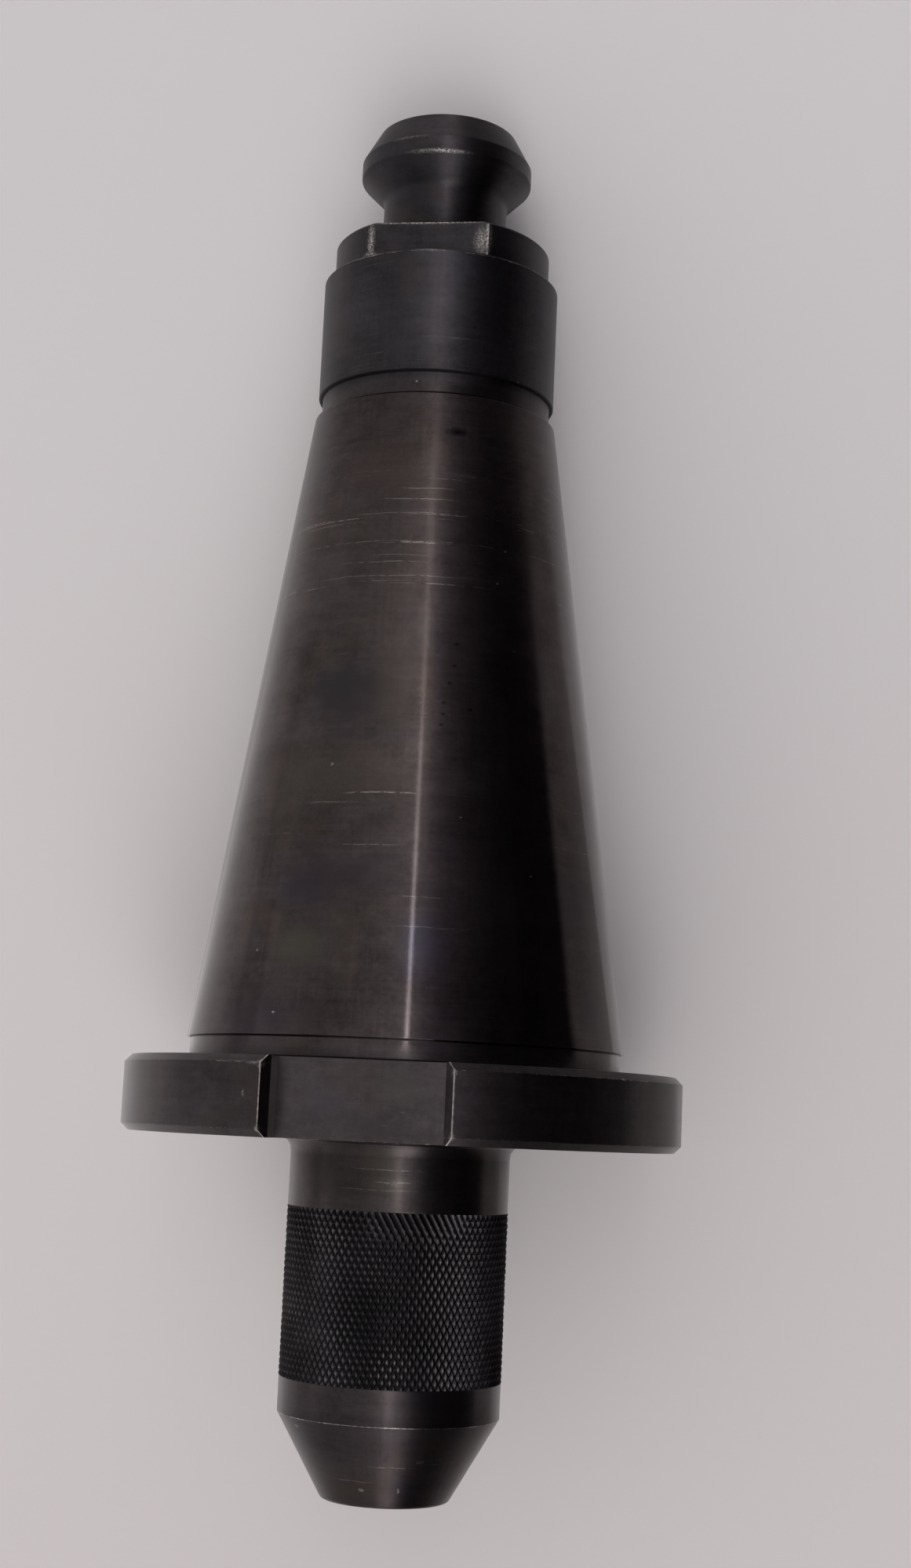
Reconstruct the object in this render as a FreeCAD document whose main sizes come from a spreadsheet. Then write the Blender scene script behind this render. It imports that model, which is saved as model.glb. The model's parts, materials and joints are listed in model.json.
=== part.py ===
"""End mill holder with a 50 size steep taper, a slotted flange and a screwed-in retention knob.

Every piece is drawn about its own turning axis, Y, with the gauge line of the taper at Y = 0 and the
retention knob towards +Y. The pieces are then laid down together as the holder comes to rest: on the two
lower corners of a drive slot and on the rim of the pilot. Millimetres and degrees.
"""
import FreeCAD, Part
import math
import os
import Sketcher

SIZES = {
    # Steep taper and pilot
    "gauge_diameter": 69.85,
    "taper_ratio": 7 / 24,
    "taper_length": 102.6,
    "relief_width": 4.1,
    "relief_depth": 0.65,
    "pilot_diameter": 39.2,
    "pilot_length": 20.1,
    "pilot_chamfer": 0.4,
    # Flange and its two drive slots
    "gauge_gap": 3.3,
    "undercut_depth": 0.55,
    "flange_diameter": 88.9,
    "flange_thickness": 11.75,
    "flange_chamfer": 1.1,
    "slot_width": 25.4,
    "slot_floor_height": 36.5,
    "slot_edge_chamfer": 1.25,
    # Neck, knurled band, plain ring and nose cone
    "neck_diameter": 34.9,
    "neck_length": 10.6,
    "neck_fillet": 2.3,
    "knurl_length": 26.1,
    "knurl_rise": 0.2,
    "knurl_depth": 0.5,
    "knurl_pitch": 1.18,
    "knurl_angle": 30,
    "ring_length": 5.5,
    "nose_angle": 30,
    "nose_diameter": 20,
    "nose_round": 0.9,
    # Bore for the cutter shank and threaded hole for the knob
    "bore_diameter": 12.7,
    "bore_depth": 50,
    "bore_mouth_chamfer": 0.8,
    "drill_point_angle": 118,
    "stud_hole_depth": 48,
    "stud_diameter": 25.4,
    "stud_length": 38,
    "stud_chamfer": 1.5,
    # Retention knob
    "collar_diameter": 35.9,
    "collar_thickness": 6.2,
    "collar_chamfer": 0.4,
    "wrench_size": 30.1,
    "grip_diameter": 20.7,
    "grip_length": 8.8,
    "grip_fillet": 1.6,
    "head_diameter": 28.7,
    "head_underside_angle": 45,
    "head_band": 2.6,
    "head_bevel_angle": 29,
    "head_bevel_length": 5.05,
    "head_round": 0.5,
    # Set screw that clamps the cutter shank
    "screw_diameter": 11.1,
    "screw_clearance": 0.04,
    "screw_length": 9.5,
    "screw_reach": 22,
    "screw_setback": 0.3,
    "screw_point_chamfer": 1.4,
    "socket_size": 5.56,
    "socket_depth": 4.6,
}

# Radii, as expressions on the sheet
GAUGE_RADIUS = "sizes.gauge_diameter / 2"
SMALL_END_RADIUS = "(sizes.gauge_diameter - sizes.taper_length * sizes.taper_ratio) / 2"
UNDERCUT_RADIUS = f"({GAUGE_RADIUS} - sizes.undercut_depth)"
PILOT_RADIUS = "sizes.pilot_diameter / 2"
RELIEF_RADIUS = f"({PILOT_RADIUS} - sizes.relief_depth)"
FLANGE_RADIUS = "sizes.flange_diameter / 2"
NECK_RADIUS = "sizes.neck_diameter / 2"
KNURL_CREST = f"({NECK_RADIUS} + sizes.knurl_rise)"
KNURL_VALLEY = f"({KNURL_CREST} - sizes.knurl_depth)"
KNURL_CORE = f"({KNURL_VALLEY} - sizes.knurl_depth)"
KNURL_BAND_INSIDE = f"({KNURL_CORE} - sizes.knurl_depth)"
NOSE_RADIUS = "sizes.nose_diameter / 2"
BORE_RADIUS = "sizes.bore_diameter / 2"
STUD_RADIUS = "sizes.stud_diameter / 2"
COLLAR_RADIUS = "sizes.collar_diameter / 2"
GRIP_RADIUS = "sizes.grip_diameter / 2"
HEAD_RADIUS = "sizes.head_diameter / 2"
DRILL_TANGENT = "tan(sizes.drill_point_angle / 2 * 1 deg)"

# Places along the axis, from the nose (-Y) to the top of the knob (+Y)
FLANGE_REAR = "(-sizes.gauge_gap)"
FLANGE_FRONT = f"({FLANGE_REAR} - sizes.flange_thickness)"
KNURL_REAR = f"({FLANGE_FRONT} - sizes.neck_length)"
KNURL_FRONT = f"({KNURL_REAR} - sizes.knurl_length)"
CONE_START = f"({KNURL_FRONT} - sizes.ring_length)"
CONE_LENGTH = f"({NECK_RADIUS} - {NOSE_RADIUS}) / tan(sizes.nose_angle * 1 deg)"
NOSE_FACE = f"({CONE_START} - {CONE_LENGTH})"
BORE_END = f"({NOSE_FACE} + sizes.bore_depth)"
PILOT_START = "(sizes.taper_length + sizes.relief_width)"
SHANK_END = f"({PILOT_START} + sizes.pilot_length)"
COLLAR_TOP = f"({SHANK_END} + sizes.collar_thickness)"
HEAD_UNDERSIDE = f"({COLLAR_TOP} + sizes.grip_length)"
UNDERSIDE_RISE = f"({HEAD_RADIUS} - {GRIP_RADIUS}) / tan(sizes.head_underside_angle * 1 deg)"
BAND_START = f"({HEAD_UNDERSIDE} + {UNDERSIDE_RISE})"
BAND_END = f"({BAND_START} + sizes.head_band)"
KNOB_TOP = f"({BAND_END} + sizes.head_bevel_length)"
KNOB_TOP_RADIUS = f"({HEAD_RADIUS} - sizes.head_bevel_length * tan(sizes.head_bevel_angle * 1 deg))"
SCREW_PLACE = f"({NOSE_FACE} + sizes.screw_reach)"

doc = FreeCAD.newDocument("end_mill_holder")
sheet = doc.addObject("Spreadsheet::Sheet", "sizes")
for row, (name, size) in enumerate(SIZES.items(), start=1):
    sheet.set(f"A{row}", name)
    sheet.set(f"B{row}", str(size))
    sheet.setAlias(f"B{row}", name)
doc.recompute()


def value(expression):
    """The number that an expression on the sheet comes to."""
    return float(sheet.evalExpression(expression))


def origin_feature(body, role):
    """One of a body's own origin planes or axes."""
    return next(item for item in body.Origin.OriginFeatures if item.Role == role)


def new_sketch(body, name, plane):
    """An empty sketch on one of the body's origin planes."""
    sketch = body.newObject("Sketcher::SketchObject", name)
    sketch.AttachmentSupport = (origin_feature(body, plane), [""])
    sketch.MapMode = "FlatFace"
    return sketch


def closed_outline(sketch, corners):
    """Straight edges through corners given as pairs of expressions, each corner tied to the sheet."""
    points = [FreeCAD.Vector(value(across), value(along), 0) for across, along in corners]
    count = len(points)
    for index, point in enumerate(points):
        sketch.addGeometry(Part.LineSegment(point, points[(index + 1) % count]), False)
    for index in range(count):
        sketch.addConstraint(Sketcher.Constraint("Coincident", index, 2, (index + 1) % count, 1))
    for index, (corner, point) in enumerate(zip(corners, points)):
        for kind, expression, place in zip(("DistanceX", "DistanceY"), corner, point):
            number = sketch.addConstraint(Sketcher.Constraint(kind, -1, 1, index, 1, place))
            constraint_name = f"{kind}_{index}"
            sketch.renameConstraint(number, constraint_name)
            sketch.setExpression(f"Constraints.{constraint_name}", expression)


def turned(body, kind, name, corners):
    """A revolved piece or a revolved cut, from its half section of (radius, place) corners."""
    sketch = new_sketch(body, f"{name}_section", "XY_Plane")
    closed_outline(sketch, corners)
    feature = body.newObject(kind, name)
    feature.Profile = sketch
    feature.ReferenceAxis = (sketch, ["V_Axis"])
    feature.Angle = 360
    doc.recompute()
    return feature


def ring_edges(feature, places):
    """Names of the circular edges about the turning axis at the given (radius, place) pairs."""
    names = []
    for radius, place in places:
        for index, edge in enumerate(feature.Shape.Edges, start=1):
            curve = edge.Curve
            if not isinstance(curve, Part.Circle):
                continue
            if abs(curve.Radius - value(radius)) < 1e-4 and abs(curve.Center.y - value(place)) < 1e-4:
                names.append(f"Edge{index}")
    return names


def dress(body, kind, name, base, places, size_name, size):
    """A fillet or a chamfer on edges that run round the turning axis."""
    feature = body.newObject(kind, name)
    feature.Base = (base, ring_edges(base, places))
    feature.setExpression(size_name, size)
    doc.recompute()
    return feature


def pocket(body, name, sketch, length, reverse=False, both_ways=False):
    """A straight cut from a sketch, which has to take some of the body away."""
    before = body.Shape.Volume
    feature = body.newObject("PartDesign::Pocket", name)
    feature.Profile = sketch
    feature.setExpression("Length", length)
    feature.Reversed = reverse
    feature.Midplane = both_ways
    doc.recompute()
    if body.Shape.Volume > before - 1:
        raise RuntimeError(f"{name} cuts nothing")
    return feature


def repeat_opposite(body, name, original):
    """The same cut once more, half a turn round the axis."""
    pattern = body.newObject("PartDesign::PolarPattern", name)
    pattern.Originals = [original]
    pattern.Axis = (origin_feature(body, "Y_Axis"), [""])
    pattern.Angle = 360
    pattern.Occurrences = 2
    body.Tip = pattern
    doc.recompute()


def holder_blank():
    """The one turned piece: nose, neck, flange, taper and pilot, with a seat for the knurled band."""
    body = doc.addObject("PartDesign::Body", "holder_blank")
    outside = turned(body, "PartDesign::Revolution", "turned_outside", [
        ("0", NOSE_FACE),
        (NOSE_RADIUS, NOSE_FACE),
        (NECK_RADIUS, CONE_START),
        (NECK_RADIUS, KNURL_FRONT),
        (KNURL_CORE, KNURL_FRONT),
        (KNURL_CORE, KNURL_REAR),
        (NECK_RADIUS, KNURL_REAR),
        (NECK_RADIUS, FLANGE_FRONT),
        (f"{FLANGE_RADIUS} - sizes.flange_chamfer", FLANGE_FRONT),
        (FLANGE_RADIUS, f"{FLANGE_FRONT} + sizes.flange_chamfer"),
        (FLANGE_RADIUS, f"{FLANGE_REAR} - sizes.flange_chamfer"),
        (f"{FLANGE_RADIUS} - sizes.flange_chamfer", FLANGE_REAR),
        (UNDERCUT_RADIUS, FLANGE_REAR),
        (UNDERCUT_RADIUS, "0"),
        (GAUGE_RADIUS, "0"),
        (SMALL_END_RADIUS, "sizes.taper_length"),
        (RELIEF_RADIUS, "sizes.taper_length"),
        (RELIEF_RADIUS, PILOT_START),
        (PILOT_RADIUS, PILOT_START),
        (PILOT_RADIUS, f"{SHANK_END} - sizes.pilot_chamfer"),
        (f"{PILOT_RADIUS} - sizes.pilot_chamfer", SHANK_END),
        ("0", SHANK_END),
    ])
    neck = dress(body, "PartDesign::Fillet", "neck_root", outside, [(NECK_RADIUS, FLANGE_FRONT)],
                 "Radius", "sizes.neck_fillet")
    dress(body, "PartDesign::Fillet", "nose_rim", neck, [(NOSE_RADIUS, NOSE_FACE)],
          "Radius", "sizes.nose_round")
    turned(body, "PartDesign::Groove", "tool_bore", [
        ("0", NOSE_FACE),
        (f"{BORE_RADIUS} + sizes.bore_mouth_chamfer", NOSE_FACE),
        (BORE_RADIUS, f"{NOSE_FACE} + sizes.bore_mouth_chamfer"),
        (BORE_RADIUS, BORE_END),
        ("0", f"{BORE_END} + {BORE_RADIUS} / {DRILL_TANGENT}"),
    ])
    turned(body, "PartDesign::Groove", "stud_hole", [
        ("0", SHANK_END),
        (STUD_RADIUS, SHANK_END),
        (STUD_RADIUS, f"{SHANK_END} - sizes.stud_hole_depth"),
        ("0", f"{SHANK_END} - sizes.stud_hole_depth - {STUD_RADIUS} / {DRILL_TANGENT}"),
    ])
    repeat_opposite(body, "drive_slots", drive_slot(body))
    return body


def drive_slot(body):
    """A flat-floored key slot across the flange rim, with bevelled corners at its mouth."""
    half_width = "sizes.slot_width / 2"
    mouth = f"({half_width} + sizes.slot_edge_chamfer)"
    corner_height = f"sqrt(pow({FLANGE_RADIUS}; 2) - pow({mouth}; 2))"
    bevel_foot = f"({corner_height} - sizes.slot_edge_chamfer)"
    beyond = "sizes.flange_diameter"
    sketch = new_sketch(body, "drive_slot_section", "XZ_Plane")
    closed_outline(sketch, [
        (f"-{half_width}", "sizes.slot_floor_height"),
        (half_width, "sizes.slot_floor_height"),
        (half_width, bevel_foot),
        (mouth, corner_height),
        (mouth, beyond),
        (f"-{mouth}", beyond),
        (f"-{mouth}", corner_height),
        (f"-{half_width}", bevel_foot),
    ])
    return pocket(body, "drive_slot", sketch, f"-{FLANGE_FRONT}", reverse=True)


def diamond_knurl():
    """The knurled band, a ring: rows of four-sided points between two crossing sets of helical valleys."""
    crest = value(KNURL_CREST)
    valley = value(KNURL_VALLEY)
    front = value(KNURL_FRONT)
    length = value("sizes.knurl_length")
    pitch = value("sizes.knurl_pitch")
    teeth = round(2 * math.pi * crest / pitch)
    rows = round(length / (pitch / 2 / math.tan(math.radians(value("sizes.knurl_angle")))))

    def node(column, row):
        """A crest or a valley crossing, by turns, on a grid of half pitches."""
        radius = crest if (column + row) % 2 else valley
        turn = math.pi * column / teeth
        return FreeCAD.Vector(radius * math.sin(turn), front + length * row / rows, radius * math.cos(turn))

    def facet(*corners):
        return Part.Face(Part.makePolygon([*corners, corners[0]]))

    faces = []
    for row in range(rows):
        for column in range(2 * teeth):
            near, far = node(column, row), node(column + 1, row)
            far_up, near_up = node(column + 1, row + 1), node(column, row + 1)
            if (column + row) % 2:
                faces += [facet(near, far, near_up), facet(far, far_up, near_up)]
            else:
                faces += [facet(near, far, far_up), facet(near, far_up, near_up)]
    along = FreeCAD.Vector(0, length, 0)
    inner_rim = Part.Wire(Part.makeCircle(value(KNURL_BAND_INSIDE), FreeCAD.Vector(0, front, 0), along))
    faces += inner_rim.extrude(along).Faces
    for row, hole in ((0, inner_rim), (rows, inner_rim.translated(along))):
        outer_rim = Part.makePolygon([node(column, row) for column in range(2 * teeth + 1)])
        faces.append(Part.makeFace([outer_rim, hole], "Part::FaceMakerBullseye"))
    shell = Part.makeShell(faces)
    shell.sewShape()
    return Part.Solid(shell.Shells[0])


def holder_body(blank, rest):
    """The blank with its knurled band grown on, and the radial hole for the set screw."""
    band = doc.addObject("Part::Feature", "knurled_band")
    band.Shape = diamond_knurl()
    knurled = doc.addObject("Part::Fuse", "knurled_blank")
    knurled.Base = blank
    knurled.Tool = band
    knurled.Refine = False
    hole = doc.addObject("Part::Cylinder", "screw_hole")
    hole.setExpression("Radius", "sizes.screw_diameter / 2 + sizes.screw_clearance")
    hole.setExpression("Height", "sizes.neck_diameter")
    hole.Placement = FreeCAD.Placement(
        FreeCAD.Vector(0, value(SCREW_PLACE), 0), FreeCAD.Rotation(FreeCAD.Vector(1, 0, 0), 180))
    body = doc.addObject("Part::Cut", "holder_body")
    body.Base = knurled
    body.Tool = hole
    body.Refine = False
    body.Placement = rest
    doc.recompute()
    return body


def retention_knob():
    """The turned knob with its wrench collar, whose stud fills the threaded hole of the shank."""
    body = doc.addObject("PartDesign::Body", "retention_knob")
    stud_end = f"({SHANK_END} - sizes.stud_length)"
    outside = turned(body, "PartDesign::Revolution", "knob_outside", [
        ("0", stud_end),
        (f"{STUD_RADIUS} - sizes.stud_chamfer", stud_end),
        (STUD_RADIUS, f"{stud_end} + sizes.stud_chamfer"),
        (STUD_RADIUS, SHANK_END),
        (COLLAR_RADIUS, SHANK_END),
        (COLLAR_RADIUS, f"{COLLAR_TOP} - sizes.collar_chamfer"),
        (f"{COLLAR_RADIUS} - sizes.collar_chamfer", COLLAR_TOP),
        (GRIP_RADIUS, COLLAR_TOP),
        (GRIP_RADIUS, HEAD_UNDERSIDE),
        (HEAD_RADIUS, BAND_START),
        (HEAD_RADIUS, BAND_END),
        (KNOB_TOP_RADIUS, KNOB_TOP),
        ("0", KNOB_TOP),
    ])
    roots = dress(body, "PartDesign::Fillet", "grip_roots", outside,
                  [(GRIP_RADIUS, COLLAR_TOP), (GRIP_RADIUS, HEAD_UNDERSIDE)],
                  "Radius", "sizes.grip_fillet")
    dress(body, "PartDesign::Fillet", "head_rims", roots,
          [(HEAD_RADIUS, BAND_START), (HEAD_RADIUS, BAND_END), (KNOB_TOP_RADIUS, KNOB_TOP)],
          "Radius", "sizes.head_round")
    sketch = new_sketch(body, "wrench_flat_section", "YZ_Plane")
    closed_outline(sketch, [
        (SHANK_END, "sizes.wrench_size / 2"),
        (COLLAR_TOP, "sizes.wrench_size / 2"),
        (COLLAR_TOP, "sizes.collar_diameter"),
        (SHANK_END, "sizes.collar_diameter"),
    ])
    repeat_opposite(body, "wrench_flats",
                    pocket(body, "wrench_flat", sketch, "2 * sizes.collar_diameter", both_ways=True))
    return body


def set_screw(rest):
    """A socket set screw, drawn with its outer end at its origin and its point towards +Z."""
    body = doc.addObject("PartDesign::Body", "set_screw")
    sketch = new_sketch(body, "screw_section", "XZ_Plane")
    closed_outline(sketch, [
        ("0", "0"),
        ("sizes.screw_diameter / 2", "0"),
        ("sizes.screw_diameter / 2", "sizes.screw_length - sizes.screw_point_chamfer"),
        ("sizes.screw_diameter / 2 - sizes.screw_point_chamfer", "sizes.screw_length"),
        ("0", "sizes.screw_length"),
    ])
    blank = body.newObject("PartDesign::Revolution", "screw_blank")
    blank.Profile = sketch
    blank.ReferenceAxis = (sketch, ["V_Axis"])
    blank.Angle = 360
    doc.recompute()
    socket_sketch = new_sketch(body, "socket_section", "XY_Plane")
    corner = "sizes.socket_size / sqrt(3)"
    half = "sizes.socket_size / 2"
    closed_outline(socket_sketch, [
        (corner, "0"), (f"{corner} / 2", half), (f"-{corner} / 2", half),
        (f"-{corner}", "0"), (f"-{corner} / 2", f"-{half}"), (f"{corner} / 2", f"-{half}"),
    ])
    pocket(body, "hex_socket", socket_sketch, "sizes.socket_depth", reverse=True)
    outer_end = value(f"{BORE_RADIUS} + sizes.screw_setback + sizes.screw_length")
    seat = FreeCAD.Placement(FreeCAD.Vector(0, value(SCREW_PLACE), -outer_end), FreeCAD.Rotation())
    body.Placement = rest.multiply(seat)
    return body


def resting_place(pieces):
    """The placement that lays the holder on two slot corners and the pilot's rim, over the origin."""
    mouth = value("sizes.slot_width / 2 + sizes.slot_edge_chamfer")
    corner_height = math.sqrt(value(FLANGE_RADIUS) ** 2 - mouth ** 2)
    corner_place = value(f"{FLANGE_REAR} - sizes.flange_chamfer")
    rim_height = value(PILOT_RADIUS)
    rim_place = value(f"{SHANK_END} - sizes.pilot_chamfer")
    tilt = math.atan2(corner_height - rim_height, rim_place - corner_place)
    lift = rim_place * math.sin(tilt) + rim_height * math.cos(tilt)
    turn = FreeCAD.Rotation(FreeCAD.Vector(1, 0, 0), -math.degrees(tilt))
    lying = Part.Compound([piece.Shape for piece in pieces])
    lying.Placement = FreeCAD.Placement(FreeCAD.Vector(), turn)
    box = lying.optimalBoundingBox(False, False)
    return FreeCAD.Placement(FreeCAD.Vector(0, -(box.YMin + box.YMax) / 2, lift), turn)


blank = holder_blank()
knob = retention_knob()
rest = resting_place([blank, knob])
knob.Placement = rest
screw = set_screw(rest)
body = holder_body(blank, rest)

for item in doc.Objects:
    if "Invalid" in item.State or "Error" in item.State:
        raise RuntimeError(f"{item.Name} failed: {item.State}")
os.makedirs("parts", exist_ok=True)
for piece in (body, knob, screw):
    piece.Label = piece.Name
    shape = piece.Shape
    if shape.isNull() or not shape.isValid() or len(shape.Solids) != 1:
        raise RuntimeError(f"{piece.Label} is not one valid solid")
    shape.exportStep(f"parts/{piece.Label}.step")
    print(piece.Label, "faces", len(shape.Faces), "volume", round(shape.Volume, 1), shape.BoundBox)
print("placement", body.Placement)
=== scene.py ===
"""End mill holder lying on a pale table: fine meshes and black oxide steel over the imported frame."""
import json
import math

import bmesh
import bpy
from mathutils import Euler, Matrix, Vector


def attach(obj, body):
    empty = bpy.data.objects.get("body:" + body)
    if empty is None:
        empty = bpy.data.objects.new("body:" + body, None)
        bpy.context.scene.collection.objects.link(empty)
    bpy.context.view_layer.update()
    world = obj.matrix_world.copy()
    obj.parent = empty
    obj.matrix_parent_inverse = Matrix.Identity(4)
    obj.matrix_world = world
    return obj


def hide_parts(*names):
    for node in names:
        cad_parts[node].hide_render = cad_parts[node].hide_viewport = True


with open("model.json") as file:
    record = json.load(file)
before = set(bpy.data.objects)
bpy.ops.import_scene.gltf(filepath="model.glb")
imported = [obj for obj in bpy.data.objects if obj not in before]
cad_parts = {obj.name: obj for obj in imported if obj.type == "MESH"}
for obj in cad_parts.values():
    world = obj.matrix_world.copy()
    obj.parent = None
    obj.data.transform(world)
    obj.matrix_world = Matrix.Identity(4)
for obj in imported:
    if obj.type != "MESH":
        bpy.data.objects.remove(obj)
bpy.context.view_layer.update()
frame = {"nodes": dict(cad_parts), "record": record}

MM = 0.001

# The turning axis as the frame states it: the taper's gauge point, and the way to the knob
mounts = {mount["name"]: mount for mount in frame["record"]["mounts"]}
GAUGE_POINT = Vector(mounts["spindle_taper"]["pos_m"])
TO_KNOB = Vector(mounts["spindle_taper"]["axis"]).normalized()
RIGHT = Vector((1, 0, 0))
UP = RIGHT.cross(TO_KNOB)
LYING = Matrix((
    (RIGHT.x, TO_KNOB.x, UP.x, GAUGE_POINT.x),
    (RIGHT.y, TO_KNOB.y, UP.y, GAUGE_POINT.y),
    (RIGHT.z, TO_KNOB.z, UP.z, GAUGE_POINT.z),
    (0, 0, 0, 1),
))

# Holder sizes, millimetres, with places counted from the gauge line towards the knob
GAUGE_RADIUS = 34.925
TAPER_LENGTH = 102.6
TAPER_SLOPE = 7 / 48
SMALL_END_RADIUS = GAUGE_RADIUS - TAPER_LENGTH * TAPER_SLOPE
PILOT_RADIUS = mounts["pilot"]["dims"]["r_mm"]
RELIEF_RADIUS = PILOT_RADIUS - 0.65
PILOT_START = TAPER_LENGTH + 4.1
SHANK_END = PILOT_START + 20.1
UNDERCUT_RADIUS = GAUGE_RADIUS - 0.55
FLANGE_REAR = -3.3
FLANGE_FRONT = FLANGE_REAR - 11.75
FLANGE_RADIUS = 44.45
FLANGE_CHAMFER = 1.1
SLOT_HALF = 12.7
SLOT_FLOOR = 36.5
SLOT_CHAMFER = 1.25
SLOT_CORNER = math.hypot(SLOT_HALF, SLOT_FLOOR)
NECK_RADIUS = 17.45
NECK_FILLET = 2.3
KNURL_REAR = FLANGE_FRONT - 10.6
KNURL_FRONT = KNURL_REAR - 26.1
KNURL_CREST = NECK_RADIUS + 0.2
KNURL_DEPTH = 0.5
KNURL_SEAT = KNURL_CREST - 2 * KNURL_DEPTH
KNURL_PITCH = 1.18
KNURL_ANGLE = math.radians(30)
CONE_START = KNURL_FRONT - 5.5
NOSE_RADIUS = 10.0
NOSE_ANGLE = math.radians(30)
NOSE_FACE = CONE_START - (NECK_RADIUS - NOSE_RADIUS) / math.tan(NOSE_ANGLE)
BORE_RADIUS = mounts["tool_bore"]["dims"]["r_mm"]
BORE_END = NOSE_FACE + 50
BORE_CHAMFER = 0.8
DRILL_SLOPE = math.tan(math.radians(59))
STUD_RADIUS = 12.7
STUD_HOLE = 48
STUD_LENGTH = 38
STUD_CHAMFER = 1.5
END_CHAMFER = 0.4

# Knob and clamp screw sizes
COLLAR_RADIUS = 17.95
COLLAR_TOP = SHANK_END + 6.2
WRENCH_HALF = 15.05
GRIP_RADIUS = 10.35
GRIP_FILLET = 1.6
HEAD_UNDERSIDE = COLLAR_TOP + 8.8
HEAD_RADIUS = 14.35
BAND_START = HEAD_UNDERSIDE + HEAD_RADIUS - GRIP_RADIUS
BAND_END = BAND_START + 2.6
CROWN_HEIGHT = 5.05
CROWN_ANGLE = math.radians(29)
KNOB_TOP = BAND_END + CROWN_HEIGHT
KNOB_TOP_RADIUS = HEAD_RADIUS - CROWN_HEIGHT * math.tan(CROWN_ANGLE)
SCREW_PLACE = NOSE_FACE + 22
SCREW_HOLE_RADIUS = 5.59

# Mesh fineness: columns in a quarter turn of the holder and of the whole knob, where they lie as shares of
# their stretch, facets in a rounded edge, and the longest gap between two rings
FLOOR_COLUMNS = 18
WALL_COLUMNS = 8
BEVEL_SHARES = (0, 0.1, 0.5, 0.88)
RIM_COLUMNS = 84
MOUTH_SHARES = (0, 0.004)
EDGE_STEPS = 4
KNOB_COLUMNS = 256
HOLDER_GAP = 6.0
KNOB_GAP = 3.0

# Edges: their rounding, how far wear reaches past it, and the fillet from which a concave corner gets no
# painted shade and dirt
EDGE_ROUND = 0.12
WEAR_REACH = 0.14
WIDE_FILLET = 1.0

# Points nearer than this, in metres, are one, and edges sharper than this are drawn sharp
SAME_POINT = 1e-7
SHARP_ANGLE = math.radians(28)


class Ring:
    """One ring of a turned mesh: radius, place, how rubbed its edge is, and how much painted shade and dirt
    darken it as a concave corner.
    """

    def __init__(self, radius, place, wear=0.0, grime=0.0):
        self.radius = radius
        self.place = place
        self.wear = wear
        self.grime = grime


def rounded_profile(corners):
    """Rings along a turned outline of (radius, place, rounding, rub) corners, with the edges rounded."""
    rings = []
    for index, (radius, place, rounding, rub) in enumerate(corners):
        corner = Vector((radius, place))
        if rounding <= 0:
            rings.append(Ring(radius, place, wear=rub))
            continue
        before = Vector(corners[index - 1][:2]) - corner
        after = Vector(corners[index + 1][:2]) - corner
        reach = min(rounding / math.tan(before.angle(after) / 2), 0.45 * before.length, 0.45 * after.length)
        recessed = before.x * after.y - before.y * after.x > 0
        rings.append(Ring(*(corner + before.normalized() * min(reach + WEAR_REACH, 0.48 * before.length))))
        start = corner + before.normalized() * reach
        end = corner + after.normalized() * reach
        for step in range(EDGE_STEPS + 1):
            share = step / EDGE_STEPS
            point = start.lerp(corner, share).lerp(corner.lerp(end, share), share)
            # Small concave corners are marked for painted shade with some dirt: the finish darkens them and
            # makes them rougher
            rings.append(Ring(*point, wear=rub, grime=float(recessed and rounding < WIDE_FILLET)))
        rings.append(Ring(*(corner + after.normalized() * min(reach + WEAR_REACH, 0.48 * after.length))))
    return rings


def subdivided(rings, longest):
    """The same rings with more between those that lie far apart."""
    dense = [rings[0]]
    for ring in rings[1:]:
        last = dense[-1]
        gap = math.hypot(ring.radius - last.radius, ring.place - last.place)
        steps = max(1, math.ceil(gap / longest))
        for step in range(1, steps):
            share = step / steps
            dense.append(Ring(last.radius + (ring.radius - last.radius) * share,
                              last.place + (ring.place - last.place) * share))
        dense.append(ring)
    return dense


def spread(start, end, count):
    """Evenly spaced values from start up to, and without, end."""
    return [start + (end - start) * index / count for index in range(count)]


def quarter_columns():
    """(kind, share) of each column in a quarter turn that begins at the middle of a drive slot."""
    shares = {
        "floor": spread(0, 1, FLOOR_COLUMNS),
        "wall": spread(0, 1, WALL_COLUMNS),
        "bevel": BEVEL_SHARES,
        "rim": [*MOUTH_SHARES, *spread(0, 1, RIM_COLUMNS)[1:]],
    }
    return [(kind, share) for kind in shares for share in shares[kind]]


# Where each kind of column lies on the round part of the holder, in degrees
COLUMN_TURNS = {"floor": (0, 20), "wall": (20, 24), "bevel": (24, 25.5), "rim": (25.5, 90)}


def column_turn(kind, share):
    """A column's turn in radians from the middle of the drive slot."""
    start, end = COLUMN_TURNS[kind]
    return math.radians(start + (end - start) * share)


def around(columns_per_quarter):
    """Every column of the full turn as (kind, share, mirror across, mirror up, turn in radians)."""
    quarter = [(kind, share, column_turn(kind, share)) for kind, share in columns_per_quarter]
    end = ("rim", 1.0, math.radians(90))
    full = [(kind, share, 1, 1, turn) for kind, share, turn in quarter]
    full += [(kind, share, 1, -1, math.pi - turn) for kind, share, turn in [end] + quarter[:0:-1]]
    full += [(kind, share, -1, -1, math.pi + turn) for kind, share, turn in quarter]
    full += [(kind, share, -1, 1, 2 * math.pi - turn) for kind, share, turn in [end] + quarter[:0:-1]]
    return full


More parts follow.
